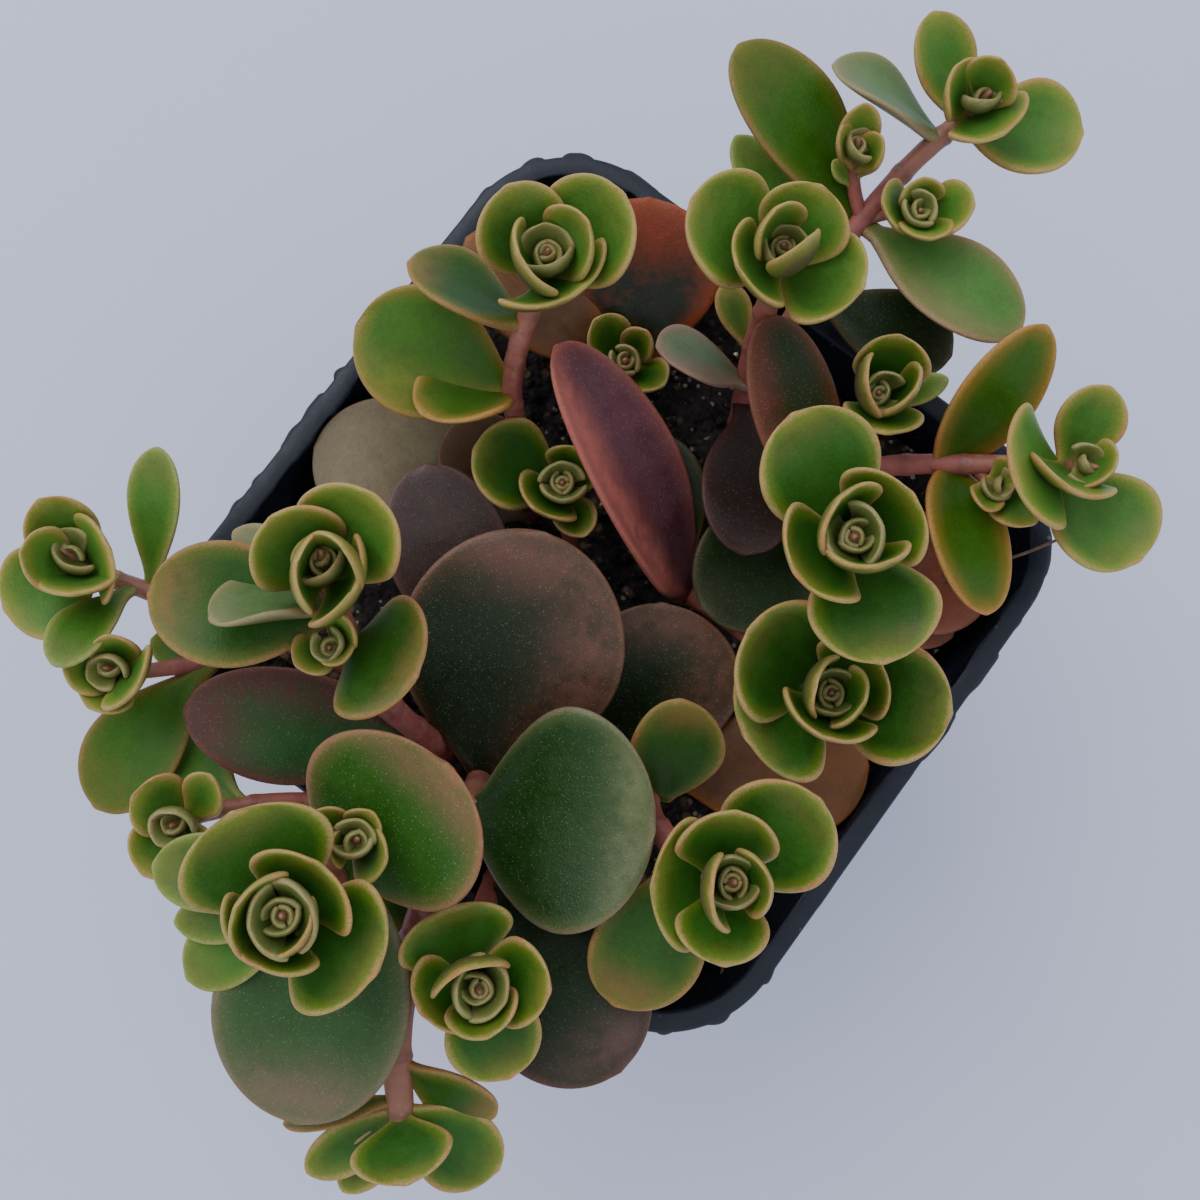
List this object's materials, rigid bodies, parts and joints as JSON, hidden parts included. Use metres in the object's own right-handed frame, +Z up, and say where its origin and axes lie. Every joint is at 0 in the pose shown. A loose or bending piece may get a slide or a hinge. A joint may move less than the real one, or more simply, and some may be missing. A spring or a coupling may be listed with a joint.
{
  "type": "potted makino stonecrop",
  "caption": "Clump of makino stonecrop, with rosettes and old leaves that are round, fleshy and green to mauve, growing in a small square black nursery pot",
  "frame": {"origin": "centre of the underside of the pot", "axes": "+Z up, X and Y along the pot's sides"},
  "size_m": [0.0829, 0.123, 0.0913],
  "materials": {
    "pot_plastic": "thin moulded black plastic, slightly dusty",
    "soil": "gritty peat potting mix",
    "leaf_young": "waxy young leaf, pale margin, tan tip",
    "leaf_mid": "waxy leaf, finely speckled",
    "leaf_old": "old leaf, dark green turning mauve and brown"
  },
  "bodies": {
    "root": {"pot": "pot_plastic", "soil": "soil", "shoot_back_left": "leaf_mid", "shoot_low_middle": "leaf_mid", "shoot_low_back": "leaf_old", "shoot_back": "leaf_mid", "shoot_back_right_long": "leaf_young", "shoot_right_back": "leaf_young", "shoot_tall_right": "leaf_young", "shoot_right": "leaf_old", "shoot_front_right": "leaf_mid", "shoot_front": "leaf_mid", "shoot_front_left": "leaf_young", "shoot_tall_left": "leaf_mid", "shoot_left_long": "leaf_young", "shoot_right_long": "leaf_young", "shoot_front_long": "leaf_mid", "old_leaf_stem": "leaf_old"}
  },
  "joints": []
}
